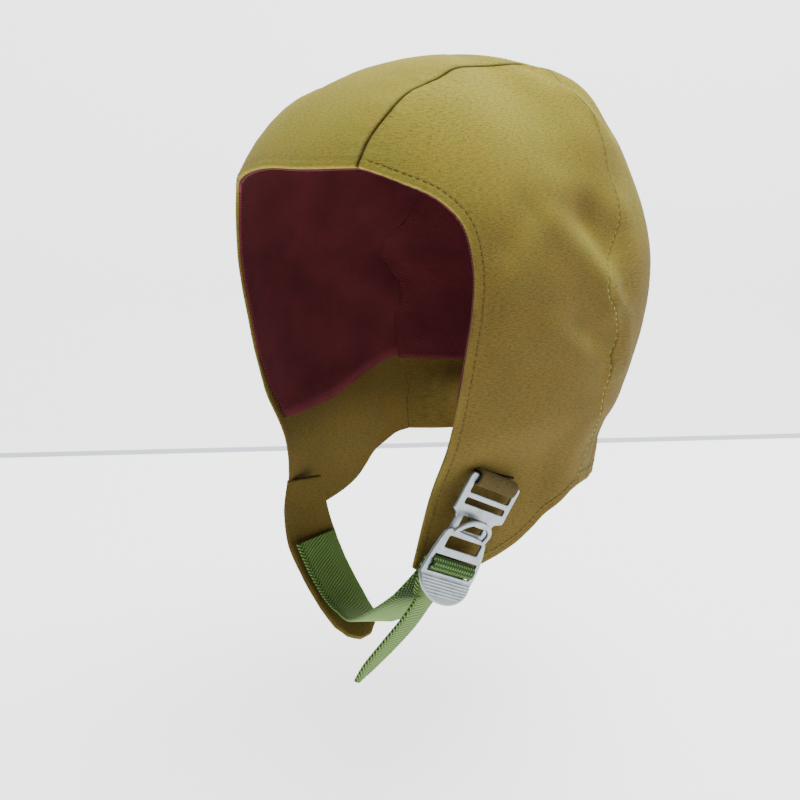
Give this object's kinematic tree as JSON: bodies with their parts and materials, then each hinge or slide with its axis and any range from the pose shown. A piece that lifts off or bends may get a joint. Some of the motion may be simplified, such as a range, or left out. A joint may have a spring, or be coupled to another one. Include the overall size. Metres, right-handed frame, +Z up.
{
  "type": "paratrooper helmet",
  "caption": "Soft khaki canvas paratrooper's hood with ear flaps, a twill lining, a green webbing chin strap and a steel hook buckle at the left.",
  "frame": {"origin": "crown seat: the lining's highest point on the head's axis, where the crown of a head holds the helmet up", "axes": "+Z up, -Y the way the face looks, +X the wearer's left, where the buckle is"},
  "size_m": [0.1677, 0.1996, 0.2767],
  "materials": {
    "canvas": "khaki cotton canvas",
    "lining": "maroon cotton twill",
    "webbing": "green ribbed webbing",
    "steel": "satin stamped steel"
  },
  "bodies": {
    "root": {"center_panel": "canvas", "left_side_panel": "canvas", "right_side_panel": "canvas", "center_lining": "lining", "left_lining": "lining", "right_lining": "lining", "buckle_tab": "canvas", "upper_buckle": "steel", "lower_buckle": "steel", "chin_strap": "webbing"}
  },
  "joints": []
}
